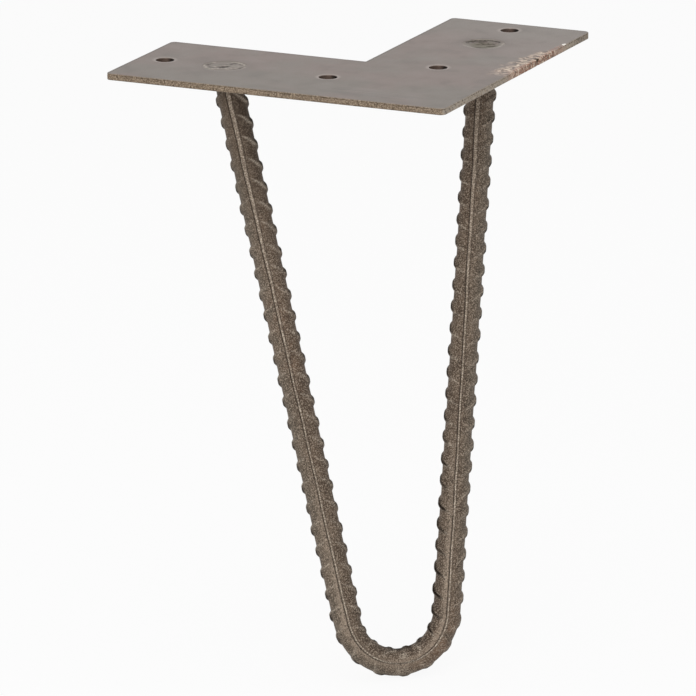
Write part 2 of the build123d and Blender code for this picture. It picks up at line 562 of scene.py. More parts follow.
        worn_run = g.rise(right_way, *self.worn_starts) * g.rise(right_way, *self.worn_ends)
        inward = left_way + HALF_ARM + g.rise(right_way, *self.worn_narrows) * self.worn_narrowing
        worn = worn_run * g.rise(inward + (0.5 - mottle) * self.worn_jitter, *self.worn_reach)
        rust_run = worn_run * g.near(left_way + (mottle - 0.5) * self.rust_jitter, *self.rust_across)
        chip = (g.near(right_way + (speck - 0.5) * self.chip_jitter, *self.chip_along)
                * g.near(left_way, *self.chip_across))
        nick = (g.near(right_way, *self.nick_along) * g.near(z, *self.nick_down)
                * g.rise(left_way, *self.nick_across))
        colour = g.coats(
            face,
            (cut, edge),
            # Painted highlight on the top edges that face the front, and painted shade on those that face the
            # back.
            (lip * g.rise(grain, 0.35, 0.6) * 0.5, self.lip_light),
            (rear_lip * 0.7, self.lip_dark),
            (worn * g.rise(flake, 0.42, 0.54) * 0.75, self.worn_pink),
            (worn * g.rise(flake, 0.47, 0.56) * 0.85, self.worn_cream),
            (rust_run * g.rise(speck, 0.44, 0.54) * 0.8, self.worn_rust),
            (g.rise(chip * (1.0 - cut), 0.25, 0.45), self.chip_white),
            (g.rise(nick, 0.2, 0.6), self.cut_dark),
            (bore * 0.9, self.bore_brown),
            # Painted shade on the left and right walls of each open hole.
            (bore_end, self.bore_shade))
        rough = 0.46 + cut * 0.24 + (grain - 0.5) * 0.2 + (mottle - 0.5) * 0.16 + worn * 0.15
        relief = grain * (0.2 + cut * 0.8) + mottle * 0.5 + rolled * 0.25 + worn * flake
        g.finish(self.bare(g, colour, rough, relief))
        return made


@dataclass(frozen=True)
class PlugWeldSteel(Steel):
    """Weld metal dressed nearly flush, with pale lines on its high bead, partly worn metal and partly painted
    highlight, and painted shade beside its ridges and on its steep walls.
    """

    name: str = "plug_weld_steel"
    metallic: float = 0.6
    specular: float = 0.4
    relief_depth: float = 0.06 * MM
    relief_share: float = 0.7
    mottle_size: float = 3.2 * MM
    grain_size: float = 0.45 * MM
    fleck_size: float = 1.1 * MM
    body_grey: Colour = tone(122, 111, 104)
    body_cool: Colour = tone(119, 112, 103)
    bead_light: Colour = tone(178, 168, 156)
    weld_shade: Colour = tone(44, 37, 32)
    floor_green: Colour = tone(116, 111, 98)

    def material(self) -> bpy.types.Material:
        """Build the weld's material.

        Returns:
            The material.
        """
        made, g = new_graph(self.name)
        where = g.place()
        light, dark, deep = g.marks("light", "dark", "deep")
        mottle = g.noise(where, self.mottle_size, 4.0, 0.8)
        grain = g.noise(where, self.grain_size, 2.0)
        fleck = g.noise(where, self.fleck_size, 3.0, 0.6)
        # Painted shade beside the bead's ridges and on the dish's far wall, laid as colour and as a dark matt
        # shader.
        dark = dark * (0.3 + g.rise(fleck, 0.32, 0.55) * 0.7)
        colour = g.coats(
            self.body_grey,
            (g.rise(mottle, 0.35, 0.65), self.body_cool),
            (deep * 0.8, self.floor_green),
            (g.rise(grain, 0.54, 0.7) * 0.2, self.bead_light),
            # Pale bead lines: partly worn metal, partly painted highlight.
            (light * (0.2 + g.rise(fleck, 0.38, 0.58) * 0.65), self.bead_light),
            (dark, self.weld_shade))
        rough = 0.5 + (grain - 0.5) * 0.3 + deep * 0.1
        steel = self.bare(g, colour, rough, grain * 0.5 + mottle * 0.8)
        g.finish(g.blend(dark * 0.6, steel, g.matt(self.weld_shade)))
        return made


def add_object(name: str, data: bpy.types.ID) -> bpy.types.Object:
    """Object in the scene that shows a mesh, a light or a camera.

    Args:
        name: Name of the object.
        data: What it shows.

    Returns:
        The object.
    """
    made = bpy.data.objects.new(name, data)
    bpy.context.scene.collection.objects.link(made)
    return made


def make_piece(name: str, points: np.ndarray, faces: list[tuple[int, ...]],
               marks: dict[str, np.ndarray], finish: bpy.types.Material) -> bpy.types.Object:
    """Smooth-shaded object from points and faces.

    Args:
        name: Name of the piece.
        points: Points, one row each.
        faces: Point numbers of each face.
        marks: Values at the points, by name.
        finish: Material of the piece.

    Returns:
        The object, linked to the scene.
    """
    mesh = bpy.data.meshes.new(name)
    mesh.from_pydata(points.tolist(), [], faces)
    mesh.update()
    mesh.shade_smooth()
    for mark, values in marks.items():
        layer = mesh.attributes.new(mark, "FLOAT", "POINT")
        layer.data.foreach_set("value", np.ravel(values).astype(np.float32))
    mesh.materials.append(finish)
    return add_object(name, mesh)


def band_faces(rows: int, columns: int, first: int = 0) -> list[tuple[int, int, int, int]]:
    """Quads of a closed band of points, row after row.

    Args:
        rows: Rows of points.
        columns: Points in each row, which closes on itself.
        first: Number of the band's first point.

    Returns:
        The quads.
    """
    row, column = np.meshgrid(np.arange(rows - 1), np.arange(columns), indexing="ij")
    after = (column + 1) % columns
    quads = np.stack([row * columns + column, row * columns + after,
                      (row + 1) * columns + after, (row + 1) * columns + column], axis=-1)
    return [tuple(quad) for quad in (quads.reshape(-1, 4) + first).tolist()]


@dataclass(frozen=True)
class HairpinPath:
    """Centre line of the bar: two straight legs and a round bend in one leaning plane."""

    top_half: float = 64.0 * MM / sqrt(2)
    foot_setback: float = 2.6 * MM
    foot_depth: float = 195.5 * MM
    bend_radius: float = 17.7 * MM

    @cached_property
    def down(self) -> np.ndarray:
        """Direction down the leaning plane."""
        run = np.array([0.0, self.foot_setback - self.top_half, -self.foot_depth])
        return run / np.linalg.norm(run)

    @cached_property
    def front(self) -> np.ndarray:
        """Direction square out of the leaning plane, to the front."""
        return np.cross(self.down, (1.0, 0.0, 0.0))

    @cached_property
    def bend_level(self) -> float:
        """Depth of the bend's centre, down the plane."""
        return hypot(self.top_half - self.foot_setback, self.foot_depth) - self.bend_radius

    @cached_property
    def leg_tilt(self) -> float:
        """Lean of a leg from the plane's middle line."""
        away = hypot(self.top_half, self.bend_level)
        return atan2(self.top_half, self.bend_level) - asin(self.bend_radius / away)

    @cached_property
    def leg_length(self) -> float:
        """Length of one straight leg, from the level of the plate's top face."""
        return sqrt(self.top_half**2 + self.bend_level**2 - self.bend_radius**2)

    @cached_property
    def bend_length(self) -> float:
        """Length of the bend."""
        return self.bend_radius * (pi - 2 * self.leg_tilt)

    @cached_property
    def length(self) -> float:
        """Length of the whole centre line."""
        return 2 * self.leg_length + self.bend_length

    def follow(self, stations: np.ndarray) -> tuple[np.ndarray, np.ndarray, np.ndarray]:
        """Frames along the centre line.

        Args:
            stations: Lengths along the line, from the left end.

        Returns:
            Points, directions, and the ways out of the hairpin, one row for each station.
        """
        turned = np.clip((stations - self.leg_length) / self.bend_radius, 0, pi - 2 * self.leg_tilt)
        heading = self.leg_tilt + turned
        spare = stations - self.leg_length - turned * self.bend_radius
        across = -self.bend_radius * np.cos(heading) + spare * np.sin(heading)
        level = self.bend_level + self.bend_radius * np.sin(heading) + spare * np.cos(heading)
        side = np.array([1.0, 0.0, 0.0])
        points = np.array([0.0, self.top_half, 0.0]) + np.outer(across, side) + np.outer(level, self.down)
        ways = np.outer(np.sin(heading), side) + np.outer(np.cos(heading), self.down)
        return points, ways, np.cross(ways, self.front)


@dataclass
class RibbedBar:
    """Hot-rolled bar with two rows of crescent ribs and a long seam between the rows on each side."""

    path: HairpinPath
    core_radius: float = 4.46 * MM
    unevenness: float = 0.03 * MM
    uneven_waves: Pair = (4.3 * MM, 2.1 * MM)
    end_level: float = -1.4 * MM
    end_clearance: float = 1.2
    ring_step: float = 0.355 * MM
    half_columns: int = 40
    seam_crowding: float = 0.62
    leg_turn: float = 30.0
    bend_turn: float = 14.0
    bend_fades: Span = (1.25, 0.3)
    seam_height: float = 0.4 * MM
    seam_flank: float = 0.2 * MM
    seam_half_top: float = 0.6 * MM
    seam_half_bend: float = 0.16 * MM
    seam_wander: float = 0.05 * MM
    wander_waves: Pair = (9.0 * MM, 3.7 * MM)
    seam_widens: Span = (100.0 * MM, 215.0 * MM)
    groove_depth: float = 0.07 * MM
    groove_gap: float = 0.12 * MM
    groove_swaps: float = 12.0 * MM
    lit_groove_width: float = 0.17 * MM
    far_groove_width: float = 0.15 * MM
    sheen_fades: Span = (95.0 * MM, 35.0 * MM)
    sheen_offset: float = 1.1 * MM
    sheen_width: float = 1.5 * MM
    rib_pitch: float = 7.187 * MM
    rib_height: float = 0.76 * MM
    rib_half_crest: float = 0.5 * MM
    rib_flank: float = 1.05 * MM
    rib_slant: float = 32.0
    rib_reach: float = 64.0
    rib_fullness: float = 2.2
    outer_phase: float = 0.85 * MM
    inner_phase: float = 2.45 * MM
    outer_spread: float = 0.49 * MM
    inner_spread: float = 0.99 * MM
    outer_flattening: float = 0.4
    inner_flattening: float = 0.5
    shift_chance: float = 0.12 * MM
    gain_chance: float = 0.06
    girth_chance: float = 0.07
    highlight_width: float = 0.2 * MM
    highlight_gap: float = 0.4 * MM
    shade_thins: Span = (45.0 * MM, 105.0 * MM)
    shade_at_ends: float = 0.3 * MM
    shade_swell: float = 0.9 * MM
    outer_shade_edge: float = 0.1 * MM
    inner_shade_edge: float = 0.45 * MM
    inner_edge_drop: float = 0.1 * MM
    outer_shade_blur: float = 0.5 * MM
    inner_shade_blur: float = 0.3 * MM
    seed: int = 11
    marks: dict[str, np.ndarray] = field(default_factory=dict)

    def columns(self) -> np.ndarray:
        """Angles of a ring's points from the front seam, closest together at both seams."""
        share = np.arange(2 * self.half_columns) / self.half_columns
        return pi * (share - self.seam_crowding * np.sin(2 * pi * share) / (2 * pi)) - pi

    def stations(self) -> np.ndarray:
        """Stations of the rings that lie wholly below the bar's cut ends.

        Returns:
            Lengths along the centre line, evenly spread.
        """
        lean = self.path.follow(np.zeros(1))[1][0]
        sunk = self.end_clearance * self.core_radius * hypot(lean[0], lean[1])
        first = (-self.end_level + sunk) / -lean[2]
        count = round((self.path.length - 2 * first) / self.ring_step)
        return np.linspace(first, self.path.length - first, count)

    def turn(self, stations: np.ndarray) -> np.ndarray:
        """Turn of the front seam out of the leaning plane's normal.

        Args:
            stations: Lengths along the centre line.

        Returns:
            Turns in radians, positive to the outside of the hairpin.
        """
        stops = (0.0, self.path.leg_length, self.path.length - self.path.leg_length, self.path.length)
        turns = (self.leg_turn, self.bend_turn, -self.bend_turn, -self.leg_turn)
        return np.radians(np.interp(stations, stops, turns))

    def bend_share(self, stations: np.ndarray) -> np.ndarray:
        """How far a station is into the bend: 0 on the legs, 1 at the lowest point."""
        off = np.abs(stations - self.path.length / 2) / (self.path.bend_length / 2)
        return smooth_step(off, *self.bend_fades)

    def rib_relief(self, station: np.ndarray, angle: np.ndarray) -> np.ndarray:
        """Height of the crescent ribs, with their marks.

        Args:
            station: Stations as a column.
            angle: Angles from the front seam as a row.

        Returns:
            Heights above the core.
        """
        slant, reach = radians(self.rib_slant), radians(self.rib_reach)
        is_outer = angle > 0
        swing = pi / 2 - np.abs(angle)
        phase = np.where(is_outer, self.outer_phase, self.inner_phase)
        spread = np.where(is_outer, self.outer_spread, self.inner_spread)
        middle = station - self.path.length / 2
        drawn_out = spread * np.clip(2 * middle / self.path.bend_length, -1, 1)
        along = middle - drawn_out + self.core_radius * swing * tan(slant) - phase
        number = np.round(along / self.rib_pitch).astype(int)
        span = 1 + int(np.abs(number).max())
        random = np.random.default_rng(self.seed)
        shift, gain, girth = (random.normal(0, chance, (2, 2 * span + 1))
                              for chance in (self.shift_chance, self.gain_chance, self.girth_chance))
        which = (np.broadcast_to(is_outer.astype(int), number.shape), number + span)
        off = (along - number * self.rib_pitch - shift[which]) * cos(slant)
        taper = np.clip(1 - (np.abs(swing) / reach) ** self.rib_fullness, 0, 1)
        half = self.rib_half_crest * (0.4 + 0.6 * taper) * (1 + girth[which])
        flank = self.rib_flank * (0.35 + 0.65 * taper)
        shape = smooth_step(np.abs(off), half + flank, half)
        height = self.rib_height * (1 + gain[which]) * taper
        flattening = np.where(is_outer, self.outer_flattening, self.inner_flattening)
        self.marks["rib"] = shape * taper
        self.mark_ribs(off, swing, middle, is_outer)
        return height * shape * (1 - flattening * self.bend_share(station))

    def mark_ribs(self, off: np.ndarray, swing: np.ndarray, middle: np.ndarray, is_outer: np.ndarray) -> None:
        """Note the painted highlight along each rib and the painted shade on its flank that faces away from
        the light.

        Args:
            off: Distances across a rib from its crest line.
            swing: Angles along a rib from its middle, positive to the front.
            middle: Stations from the lowest point of the bend, positive on the right leg.
            is_outer: Whether a column belongs to the outer row.
        """
        lightward = off * np.clip(-4 * middle / self.path.bend_length, -1, 1) * np.where(is_outer, -1.0, 1.0)
        up_right = smooth_step(middle, *self.shade_thins)
        right_inner = np.where(is_outer, 0.0, smooth_step(middle, 0.0, self.path.bend_length / 2))
        right_inner = right_inner * (1 - 0.7 * up_right)
        dark_end = 0.5 + 0.6 * right_inner
        facing = smooth_step(swing, dark_end - 0.5, dark_end) * smooth_step(swing, 1.45, 1.05)
        inner_edge = self.inner_shade_edge - self.inner_edge_drop * up_right
        dark_edge = np.where(is_outer, self.outer_shade_edge, inner_edge)
        # Painted highlight: a thin bright line along each rib on its lit side.
        lit = (dark_edge + self.highlight_gap) * smooth_step(swing, 1.0, 0.4)
        bright = bell(lightward - lit, self.highlight_width)
        self.marks["rib_crest"] = bright * facing * np.where(is_outer, 0.6, 1.0)
        # Painted shade: a dark band on the rib's flank that faces away from the light.
        dark_reach = self.shade_at_ends + self.shade_swell * smooth_step(np.abs(swing), 0.6, 0.1)
        dark_reach = dark_reach * (1 - 0.25 * up_right)
        dark_soft = np.where(is_outer, self.outer_shade_blur, self.inner_shade_blur)
        dark_band = smooth_step(-lightward, dark_reach + dark_soft, dark_reach - 0.4 * dark_soft)
        dark_band *= smooth_step(lightward - dark_edge, 0.5 * dark_soft, -0.7 * dark_soft)
        dark_run = smooth_step(swing - dark_end, 0.15, -0.3) * smooth_step(swing, -1.1, -0.5)
        dark_gain = 0.9 + 0.4 * right_inner * smooth_step(swing, 0.0, 0.5)
        dark_gain = dark_gain + np.where(is_outer, 0.35, 0.15) * up_right
        self.marks["rib_shade"] = dark_band * dark_run * dark_gain

    def seam_relief(self, station: np.ndarray, angle: np.ndarray) -> np.ndarray:
        """Height of the two seams and of the fine grooves beside them, with their marks.

        Args:
            station: Stations as a column.
            angle: Angles from the front seam as a row.

        Returns:
            Heights above the core.
        """
        middle = self.path.length / 2
        from_foot = np.abs(station - middle)
        slow, quick = self.wander_waves
        wander = self.seam_wander * (np.sin(station / slow) + np.sin(station / quick + 1.3))
        way = np.where(np.abs(angle) < pi / 2, angle, np.sign(angle) * (pi - np.abs(angle)))
        off = self.core_radius * way + wander
        near_end = smooth_step(from_foot, *self.seam_widens)
        half = self.seam_half_bend + (self.seam_half_top - self.seam_half_bend) * near_end
        shape = smooth_step(np.abs(off), half + self.seam_flank, half)
        lit_side = np.tanh((middle - station) / self.groove_swaps)
        beside = (half + self.seam_flank + self.groove_gap) * lit_side
        groove = bell(off - beside, self.lit_groove_width) + 0.4 * bell(off + beside, self.far_groove_width)
        # Painted sheen: a soft pale band beside the seam, moved to the lit side, strongest round the bend and
        # gone up the legs.
        pale_band = bell(self.core_radius * angle - self.sheen_offset * lit_side, self.sheen_width)
        self.marks["sheen"] = pale_band * smooth_step(from_foot, *self.sheen_fades)
        self.marks["seam"] = shape
        self.marks["groove"] = groove
        return self.seam_height * (0.75 + 0.25 * near_end) * shape - self.groove_depth * groove

    def relief(self, station: np.ndarray, angle: np.ndarray) -> np.ndarray:
        """Height of everything on the core: ribs, seams and slight unevenness from the rolls.

        Args:
            station: Stations as a column.
            angle: Angles from the front seam as a row.

        Returns:
            Heights above the core.
        """
        ribs = self.rib_relief(station, angle)
        seams = self.seam_relief(station, angle)
        slow, quick = self.uneven_waves
        waves = np.sin(station / slow + 2 * angle) + np.sin(station / quick - 3 * angle)
        return np.maximum(ribs, seams) + np.minimum(seams, 0) + self.unevenness * waves

    def build(self, finish: bpy.types.Material) -> bpy.types.Object:
        """Build the bar as one ring after another along its centre line.

        Args:
            finish: Material of the bar.

        Returns:
            The bar.
        """
        body = self.stations()
        stations = np.concatenate([[0.0], body, [self.path.length]])
        angle = self.columns()[np.newaxis, :]
        points, ways, outward = self.path.follow(stations)
        turn = self.turn(stations)[:, np.newaxis]
        seam_way = np.cos(turn) * self.path.front + np.sin(turn) * outward
        row_way = np.cross(ways, seam_way)
        radius = self.core_radius + self.relief(stations[:, np.newaxis], angle)
        spokes = (np.cos(angle)[..., np.newaxis] * seam_way[:, np.newaxis]
                  + np.sin(angle)[..., np.newaxis] * row_way[:, np.newaxis])
        grid = points[:, np.newaxis] + radius[..., np.newaxis] * spokes
        for end in (0, -1):
            slide = (self.end_level - grid[end, :, 2]) / ways[end, 2]
            grid[end] += slide[:, np.newaxis] * ways[end]
        rows, columns = grid.shape[:2]
        faces = band_faces(rows, columns)
        faces += [tuple(range(columns))[::-1], tuple(range((rows - 1) * columns, rows * columns))]
        marks = dict(self.marks)
        marks["station"] = np.broadcast_to(stations[:, np.newaxis] / self.path.length, radius.shape)
        marks["outer"] = np.broadcast_to(np.sin(angle), radius.shape)
        return make_piece("ribbed_bar", grid.reshape(-1, 3), faces, marks, finish)


@dataclass
class ScrewPlate:
    """L-shaped sheet with sheared edges, four screw holes and two weld holes.

    A profile gives the distance in from the edge and the depth of each row of points, in millimetres.
    """

    arm_length: float = 120.0 * MM
    arm_width: float = 2 * HALF_ARM
    thickness: float = PLATE_THICKNESS
    corner_radius: float = 1.9 * MM
    corner_points: int = 7
    screw_radius: float = 3.0 * MM
    inner_station: float = 52.0 * MM
    outer_station: float = 110.5 * MM
    weld_station: float = 89.0 * MM
    left_weld_radius: float = 7.2 * MM
    right_weld_radius: float = 7.0 * MM
    outline_step: float = 0.4 * MM
    bore_step: float = 0.35 * MM
    fewest_bore_points: int = 48
    fill_step: float = 3.0 * MM
    fill_margin: float = 0.6
    same_point: float = 1e-7
    halo_width: float = 1.5 * MM
    lip_depth: float = 0.05 * MM
    lip_width: float = 0.09 * MM
    cut_starts: Span = (0.02 * MM, 0.15 * MM)
    cut_ends: Span = (PLATE_THICKNESS, 2.12 * MM)
    rear_lip_reach: Span = (1.3 * MM, 0.4 * MM)
    rear_lip_depth: float = 0.3 * MM
    bore_starts: Span = (0.02 * MM, 0.3 * MM)
    heat_offset: float = 1.0 * MM
    heat_width: float = 2.6 * MM
    roughness: float = 0.07 * MM
    wide_blur: int = 18
    fine_blur: int = 3
    nick_place: Pair = (NICK_STATION, -HALF_ARM)
    nick_depth: float = 0.4 * MM
    nick_width: float = 0.8 * MM
    seed: int = 5
    cut_profile: Steps = (
        (1.3, 0.0), (0.8, 0.0), (0.42, 0.0), (0.22, 0.02), (0.09, 0.09), (0.02, 0.22), (0.0, 0.36),
        (0.07, 0.5), (0.02, 0.62), (0.0, 0.9), (0.01, 1.5), (0.03, 1.8), (0.02, 2.05), (0.1, 2.17),
        (0.3, 2.2))
    bore_profile: Steps = (
        (1.5, 0.0), (0.9, 0.0), (0.32, 0.0), (0.14, 0.03), (0.03, 0.12), (0.0, 0.3), (0.0, 1.0), (0.02, 1.9),
        (0.1, 2.14), (0.25, 2.2))
    filled_profile: Steps = ((1.5, 0.0), (0.9, 0.0), (0.32, 0.0), (0.0, 0.01), (0.0, 1.1), (0.0, 2.2))

    @property
    def limits(self) -> Pair:
        """Distances of an arm's inner edge and of its end from the crossing of the centre lines."""
        return self.arm_width / 2, self.arm_length - self.arm_width / 2

    def to_frame(self, plan: np.ndarray) -> np.ndarray:
        """Plan points along the right and left arm, turned into the part's frame."""
        return np.stack([plan[:, 0] - plan[:, 1], plan[:, 0] + plan[:, 1]], axis=1) * sqrt(0.5)

    def outline(self) -> tuple[Loop, Loop]:
        """Edge of the plate in plan.

        Returns:
            Points round the plate, and the ways out of it at those points.
        """
        near, far = self.limits
        corners = np.array([(-near, -near), (far, -near), (far, near),
                            (near, near), (near, far), (-near, far)])
        inner = 3
        radii = [0.0 if index == inner else self.corner_radius for index in range(len(corners))]
        runs = np.roll(corners, -1, axis=0) - corners
        ahead = runs / np.linalg.norm(runs, axis=1, keepdims=True)
        points: list[np.ndarray] = []
        for index, (corner, radius, way) in enumerate(zip(corners, radii, ahead)):
            back = -ahead[index - 1]
            heart = corner + (back + way) * radius
            swings = [0.0] if index == inner else np.linspace(0, pi / 2, self.corner_points)
            points += [heart - back * radius * sin(swing) - way * radius * cos(swing) for swing in swings]
            after = (index + 1) % len(corners)
            start, end = corner + way * radius, corners[after] - way * radii[after]
            count = round(np.linalg.norm(end - start) / self.outline_step)
            points += [start + (end - start) * step / count for step in range(1, count)]
        loop = np.array(points)
        return loop, self.ways_out(loop)

    @staticmethod
    def ways_out(loop: Loop) -> Loop:
        """Unit normals to the right of a closed loop's run.

        Args:
            loop: Points of the loop.

        Returns:
            One normal for each point.
        """
        run = np.roll(loop, -1, axis=0) - np.roll(loop, 1, axis=0)
        ways = np.stack([run[:, 1], -run[:, 0]], axis=1)
        return ways / np.linalg.norm(ways, axis=1, keepdims=True)

    def on_arms(self, station: float) -> tuple[np.ndarray, np.ndarray]:
        """Places at one distance from the outer edge, on the right and the left arm."""
        reach = station - self.arm_width / 2
        return np.array([reach, 0.0]), np.array([0.0, reach])

    def bores(self) -> list[tuple[np.ndarray, float, bool]]:
        """Holes of the plate.

        Returns:
            Centre in plan and radius of each hole, and whether weld metal fills it.
        """
        screws = [(place, self.screw_radius, False) for station in (self.inner_station, self.outer_station)
                  for place in self.on_arms(station)]
        right, left = self.on_arms(self.weld_station)
        return screws + [(right, self.right_weld_radius, True), (left, self.left_weld_radius, True)]

    def sweep(self, loop: Loop, ways: Loop, profile: Steps, wobble: np.ndarray) -> np.ndarray:
        """Rows of points that follow a loop with an edge profile.

        Args:
            loop: Loop in plan.
            ways: Ways from the steel into the open at its points.
            profile: Distance in from the loop and depth of each row.
            wobble: Extra distance in at each point.

        Returns:
            Points as rows, columns and three coordinates.
        """
        rows = []
        deepest = profile[-1][1]
        for inset, depth in profile:
            share = sin(pi * (depth / deepest)) ** 0.5 if 0 < depth < deepest else 0.0
            plan = loop - ways * (inset * MM + wobble * (0.4 + 0.6 * share))[:, np.newaxis]
            rows.append(np.column_stack([plan, np.full(len(plan), -depth * MM)]))
        return np.array(rows)

    def ragged(self, loop: Loop) -> np.ndarray:
        """Uneven line of a sheared edge with one nick: extra distance in at each point, never out.

        Args:
            loop: Edge of the plate in plan.

        Returns:
            Distances in.
        """
        rough = np.random.default_rng(self.seed).normal(0, 1, len(loop))
        wide, fine = (np.convolve(np.concatenate([rough[-blur:], rough, rough[:blur]]),
                                  np.ones(2 * blur + 1) / (2 * blur + 1), "valid")
                      for blur in (self.wide_blur, self.fine_blur))
        nick = bell(np.linalg.norm(loop - self.nick_place, axis=1), self.nick_width)
        return self.roughness * np.clip(0.5 + 1.4 * wide + 0.6 * fine, 0.2, 1.6) + self.nick_depth * nick

    @staticmethod
    def near_rim(profile: Steps, low: float, high: float) -> np.ndarray:
        """Smooth step over the distances in from the edge, one value for each row of a profile."""
        return smooth_step(np.array(profile)[:, :1] * MM, low, high)

    def edge_marks(self, rows: np.ndarray, ways: Loop) -> dict[str, np.ndarray]:
        """Values that show the finish where the sheared outline is, with a painted highlight on its front top
        edges and painted shade on its rear top edges.

        Args:
            rows: Points of the swept outline.
            ways: Ways out of the plate at the points of the loop.

        Returns:
            Values at the points, by name.
        """
        depth = -rows[..., 2]
        facing = smooth_step(self.to_frame(ways)[:, 1], 0.3, -0.3)
        lip = bell(depth - self.lip_depth, self.lip_width) * (depth > 0)
        cut = smooth_step(depth, *self.cut_starts) * smooth_step(depth, *self.cut_ends)
        rear = self.near_rim(self.cut_profile, *self.rear_lip_reach) * (depth < self.rear_lip_depth)
        return {"cut": cut, "lip": lip * facing, "rear_lip": rear * (1 - facing)}

    def bore_marks(self, rows: np.ndarray, rim: Loop) -> dict[str, np.ndarray]:
        """Values that show the finish where an open hole is.

        Args:
            rows: Points of the swept hole.
            rim: Ways out from the hole's middle at the points of the loop.

        Returns:
            Values at the points, by name.
        """
        depth = -rows[..., 2]
        aside = np.abs(self.to_frame(rim)[:, 0])
        halo = self.near_rim(self.bore_profile, self.halo_width, 0.3 * MM) * (depth < self.lip_depth)
        bore = smooth_step(depth, *self.bore_starts)
        # bore_end is painted shade on the hole's left and right walls.
        return {"bore": bore, "bore_end": bore * smooth_step(aside, 0.55, 1.0), "halo": halo}

    def fill(self, loops: list[Loop], level: float) -> tuple[np.ndarray, list[tuple[int, ...]]]:
        """Flat face between the outer loop and the holes.

        Args:
            loops: Outer loop and hole loops in plan.
            level: Height of the face.

        Returns:
            Points inside the face, and triangles over the loops' points and then those points.
        """
        near, far = self.limits
        margin = self.fill_step * self.fill_margin
        ticks = np.arange(-near + self.fill_step, far, self.fill_step)
        grid = np.array([(a, b) for a in ticks for b in ticks
                         if min(a, b) < near - margin and max(a, b) < far - margin])
        for centre, radius, _ in self.bores():
            grid = grid[np.linalg.norm(grid - centre, axis=1) > radius + 1.5 * self.halo_width]
        points = np.concatenate([*loops, grid])
        owner = np.concatenate([np.full(len(loop), number) for number, loop in enumerate([*loops, grid])])
        edges, first = [], 0
        for loop in loops:
            count = len(loop)
            edges += [(first + i, first + (i + 1) % count) for i in range(count)]
            first += count
        enclosed = 1
        found = delaunay_2d_cdt([Vector(p) for p in points.tolist()], edges, [], enclosed, self.same_point)
        origin = [ids[0] for ids in found[3]]
        triangles = [tuple(origin[i] for i in face) for face in found[2]]
        holes = [{number} for number in range(1, len(loops))]
        kept = [ids for ids in triangles if set(owner[list(ids)].tolist()) not in holes]
        return np.column_stack([grid, np.full(len(grid), level)]), kept

    def bands(self) -> list[tuple[np.ndarray, dict[str, np.ndarray]]]:
        """Swept edges of the plate.

        Returns:
            Points and marks of the outline and then of each hole.
        """
        loop, ways = self.outline()
        rows = self.sweep(loop, ways, self.cut_profile, self.ragged(loop))
        made = [(rows[:, ::-1], {name: mark[:, ::-1] for name, mark in self.edge_marks(rows, ways).items()})]
        for centre, radius, welded in self.bores():
            count = max(self.fewest_bore_points, round(2 * pi * radius / self.bore_step))
            _, rim = spread_round(count)
            profile = self.filled_profile if welded else self.bore_profile
            rows = self.sweep(centre + rim * radius, -rim, profile, np.zeros(count))
            made.append((rows, {} if welded else self.bore_marks(rows, rim)))
        return made

    def weld_heat(self, plan: np.ndarray) -> np.ndarray:
        """Tint of the heat round the weld holes.

        Args:
            plan: Points in plan.

        Returns:
            Values from 0 to 1, one for each point.
        """
        away = [np.linalg.norm(plan - centre, axis=1) - radius
                for centre, radius, welded in self.bores() if welded]
        return np.maximum.reduce([bell(gap - self.heat_offset, self.heat_width) for gap in away])

    def build(self, finish: bpy.types.Material) -> bpy.types.Object:
        """Build the plate from swept edges and filled faces.

        Args:
            finish: Material of the plate.

        Returns:
            The plate.
        """
        bands = self.bands()
        firsts = np.cumsum([0] + [rows.shape[0] * rows.shape[1] for rows, _ in bands])
        points = np.concatenate([rows.reshape(-1, 3) for rows, _ in bands])
        faces = [quad for (rows, _), first in zip(bands, firsts)
                 for quad in band_faces(*rows.shape[:2], first)]
        for row, level in ((0, 0.0), (-1, -self.thickness)):
            rims = [np.arange(rows.shape[0] * rows.shape[1]).reshape(rows.shape[:2])[row] + first
                    for (rows, _), first in zip(bands, firsts)]
            inner, triangles = self.fill([points[rim, :2] for rim in rims], level)
            names = np.concatenate([*rims, np.arange(len(points), len(points) + len(inner))]).tolist()
            turn = 1 if row == 0 else -1
            faces += [tuple(names[i] for i in ids)[::turn] for ids in triangles]
            points = np.concatenate([points, inner])
        marks = {name: np.zeros(len(points))
                 for name in ("cut", "lip", "rear_lip", "bore", "bore_end", "halo")}
        for (_, values), first in zip(bands, firsts):
            for name, mark in values.items():
                marks[name][first:first + mark.size] = mark.ravel()
        marks["weld_heat"] = self.weld_heat(points[:, :2])
        placed = np.column_stack([self.to_frame(points[:, :2]), points[:, 2]])
        return make_piece("screw_plate", placed, faces, marks, finish)


class Side(Enum):
    """Side of the leg, as the photograph shows it."""

    LEFT = -1
    RIGHT = 1


@dataclass(frozen=True)
class Stroke:
    """Line on the top of a weld, laid out as the camera sees it.

    Its points are in millimetres to the right of the weld's middle and behind it.
    """

    strength: float
    width: float
    points: Steps
    roundings: int = 2

    def over(self, plan: np.ndarray, turn: float) -> np.ndarray:
        """Show the stroke at points in plan round the weld's middle.

        Args:
            plan: Points, with the two coordinates last.
            turn: Turn of the camera about the vertical, in degrees.

        Returns:
            Values from 0 to the stroke's strength.
        """
        swing = radians(turn)
        spin = np.array([[cos(swing), sin(swing)], [-sin(swing), cos(swing)]])
        way = np.array(self.points) * MM @ spin
        for _ in range(self.roundings):
            cut = np.stack([0.75 * way[:-1] + 0.25 * way[1:], 0.25 * way[:-1] + 0.75 * way[1:]], axis=1)
            way = np.concatenate([way[:1], cut.reshape(-1, 2), way[-1:]])
        shown = np.zeros(plan.shape[:-1])
        for start, stop in zip(way[:-1], way[1:]):
            run = stop - start
            share = np.clip((plan - start) @ run / (run @ run), 0, 1)
            away = np.linalg.norm(plan - start - share[..., np.newaxis] * run, axis=-1)
            shown = np.maximum(shown, self.strength * bell(away, self.width))
        return shown


